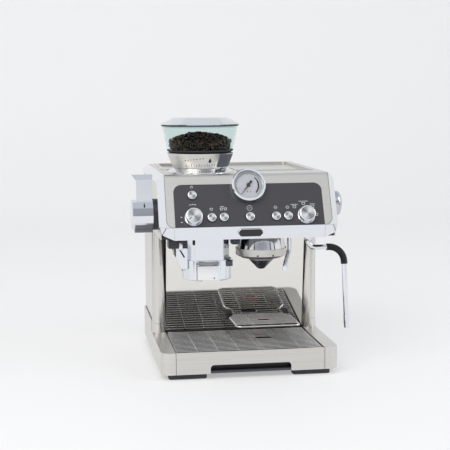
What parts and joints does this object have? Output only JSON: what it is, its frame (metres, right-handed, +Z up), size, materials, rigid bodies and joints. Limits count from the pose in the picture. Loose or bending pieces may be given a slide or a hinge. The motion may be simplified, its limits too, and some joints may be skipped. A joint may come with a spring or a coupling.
{
  "type": "espresso machine",
  "caption": "Pump espresso machine with a built-in bean grinder, side tamping lever, brew group, steam wand, folding cup tray and pull-out drip tray.",
  "frame": {"origin": "point on the table under the centre plane of the body and under the common axis line of the two front columns", "axes": "+Z up, -Y towards the user (drip tray front), +X towards the steam knob on the machine's right side seen from the front"},
  "size_m": [0.388, 0.3743, 0.443],
  "materials": {
    "brushed_steel": "brushed along the width",
    "chrome": "polished",
    "plated_plastic": "chrome plated",
    "mirror_steel": "mirror polished",
    "fascia_charcoal": "satin gloss",
    "black_plastic": "fine matt",
    "grey_plastic": "fine matt",
    "black_rubber": "matt",
    "red_plastic": "satin",
    "clear_smoke": "clear, lightly tinted",
    "lens_glass": "clear",
    "dial_white": "matt print",
    "needle_black": "satin",
    "bean_brown": "roasted, slightly oily",
    "frame_zinc": "zinc plated",
    "board_green": "solder mask",
    "cast_aluminium": "as cast",
    "motor_grey": "satin"
  },
  "bodies": {
    "machine": {"base_shell": "brushed_steel", "floor_plate": "grey_plastic", "feet": "black_rubber", "cup_tray_hinge": "black_plastic", "columns": "brushed_steel", "splash_panel": "mirror_steel", "inner_frame": "frame_zinc", "side_panels": "brushed_steel", "rear_cover": "frame_zinc", "screws": "frame_zinc", "power_inlet": "black_plastic", "head_shell": "brushed_steel", "head_floor": "black_plastic", "side_frames": "plated_plastic", "trim_strip": "plated_plastic", "control_fascia": "fascia_charcoal", "badge_plate": "plated_plastic", "cup_warmer": "brushed_steel", "gauge_case": "plated_plastic", "gauge_dial": "dial_white", "gauge_lens": "lens_glass", "control_board": "board_green", "lever_flange": "black_plastic", "grinder_outlet": "plated_plastic", "dosing_cradle": "plated_plastic", "group_shroud": "plated_plastic", "brew_ring": "brushed_steel", "diffuser_cone": "chrome", "hot_water_spout": "chrome", "hopper_collar": "plated_plastic", "grinder_motor": "motor_grey", "pump": "motor_grey", "boiler": "cast_aluminium"},
    "hopper": {"hopper_bowl": "clear_smoke", "coffee_beans": "bean_brown"},
    "lid": {"hopper_lid": "plated_plastic"},
    "grind_setting": {"grind_ring": "brushed_steel"},
    "burr": {"burr_spindle": "cast_aluminium"},
    "drip_tray": {"drip_pan": "black_plastic", "tray_front": "brushed_steel", "drip_grate": "chrome"},
    "float": {"water_float": "red_plastic"},
    "cup_shelf": {"cup_tray": "chrome", "cup_tray_marker": "red_plastic"},
    "wand": {"steam_wand": "chrome", "wand_grip": "black_rubber"},
    "tank": {"water_tank": "clear_smoke"},
    "rocker": {"main_switch": "black_plastic"},
    "lever": {"tamp_lever": "chrome"},
    "tamping_disc": {"tamper": "chrome"},
    "needle": {"gauge_needle": "needle_black"},
    "dose": {"dose_knob": "plated_plastic"},
    "program": {"program_knob": "plated_plastic"},
    "steam": {"steam_knob": "plated_plastic"},
    "single_cup_button": {"single_cup_button": "plated_plastic"},
    "double_cup_button": {"double_cup_button": "plated_plastic"},
    "start_button": {"start_button": "plated_plastic"},
    "temperature_button": {"temperature_button": "plated_plastic"},
    "rinse_button": {"rinse_button": "plated_plastic"},
    "power_button": {"power_button": "plated_plastic"}
  },
  "joints": [
    {"name": "single_cup_button_press", "type": "slide", "parent": "machine", "child": "single_cup_button", "axis": [0, 0.9063, -0.4226], "range_m": [0, 0.0015], "stiffness_N_per_m": 400},
    {"name": "double_cup_button_press", "type": "slide", "parent": "machine", "child": "double_cup_button", "axis": [0, 0.9063, -0.4226], "range_m": [0, 0.0015], "stiffness_N_per_m": 400},
    {"name": "start_button_press", "type": "slide", "parent": "machine", "child": "start_button", "axis": [0, 0.9063, -0.4226], "range_m": [0, 0.0015], "stiffness_N_per_m": 400},
    {"name": "temperature_button_press", "type": "slide", "parent": "machine", "child": "temperature_button", "axis": [0, 0.9063, -0.4226], "range_m": [0, 0.0015], "stiffness_N_per_m": 400},
    {"name": "rinse_button_press", "type": "slide", "parent": "machine", "child": "rinse_button", "axis": [0, 0.9063, -0.4226], "range_m": [0, 0.0015], "stiffness_N_per_m": 400},
    {"name": "power_button_press", "type": "slide", "parent": "machine", "child": "power_button", "axis": [0, 0.9063, -0.4226], "range_m": [0, 0.0015], "stiffness_N_per_m": 400},
    {"name": "dose_turn", "type": "hinge", "parent": "machine", "child": "dose", "pos_m": [-0.0966, -0.17424, 0.2765], "axis": [0, -0.9063, 0.4226], "range_deg": [-140, 140]},
    {"name": "program_turn", "type": "hinge", "parent": "machine", "child": "program", "pos_m": [0.0966, -0.17424, 0.2765], "axis": [0, -0.9063, 0.4226], "range_deg": [-120, 120]},
    {"name": "needle_swing", "type": "hinge", "parent": "machine", "child": "needle", "pos_m": [0, -0.15121, 0.32589], "axis": [0, 0.9063, -0.4226], "range_deg": [0, 250], "stiffness_Nm_per_rad": 0.0002},
    {"name": "steam_turn", "type": "hinge", "parent": "machine", "child": "steam", "pos_m": [0.154, -0.075, 0.287], "axis": [1, 0, 0], "range_deg": [0, 270]},
    {"name": "lever_pull", "type": "hinge", "parent": "machine", "child": "lever", "pos_m": [-0.1591, -0.099, 0.277], "axis": [1, 0, 0], "range_deg": [0, 95], "stiffness_Nm_per_rad": 0.3},
    {"name": "tamper_drop", "type": "slide", "parent": "machine", "child": "tamping_disc", "axis": [0, 0, -1], "range_m": [0, 0.01332]},
    {"name": "hopper_lift", "type": "slide", "parent": "machine", "child": "hopper", "axis": [0, 0, 1], "range_m": [0, 0.06]},
    {"name": "lid_lift", "type": "slide", "parent": "hopper", "child": "lid", "axis": [0, 0, 1], "range_m": [0, 0.05]},
    {"name": "grind_turn", "type": "hinge", "parent": "machine", "child": "grind_setting", "pos_m": [-0.072, -0.08, 0.382], "axis": [0, 0, 1], "range_deg": [-40, 40]},
    {"name": "burr_spin", "type": "hinge", "parent": "machine", "child": "burr", "pos_m": [-0.072, -0.08, 0.33], "axis": [0, 0, 1], "continuous": true},
    {"name": "tray_pull", "type": "slide", "parent": "machine", "child": "drip_tray", "axis": [0, -1, 0], "range_m": [0, 0.16]},
    {"name": "float_rise", "type": "slide", "parent": "drip_tray", "child": "float", "axis": [0, 0, 1], "range_m": [0, 0.012]},
    {"name": "cup_shelf_fold", "type": "hinge", "parent": "machine", "child": "cup_shelf", "pos_m": [0.042, -0.01, 0.0763], "axis": [-1, 0, 0], "range_deg": [0, 78]},
    {"name": "wand_swing", "type": "hinge", "parent": "machine", "child": "wand", "pos_m": [0.116, -0.105, 0.24], "axis": [0, 0, 1], "range_deg": [-100, 45]},
    {"name": "tank_pull", "type": "slide", "parent": "machine", "child": "tank", "axis": [0, 1, 0], "range_m": [0, 0.08]},
    {"name": "rocker_tip", "type": "hinge", "parent": "machine", "child": "rocker", "pos_m": [0.128, 0.166, 0.13], "axis": [-1, 0, 0], "range_deg": [0, 16]}
  ],
  "couplings": [
    {"joint": "tamper_drop", "follows": "lever_pull", "m_per_rad": 0.008}
  ]
}
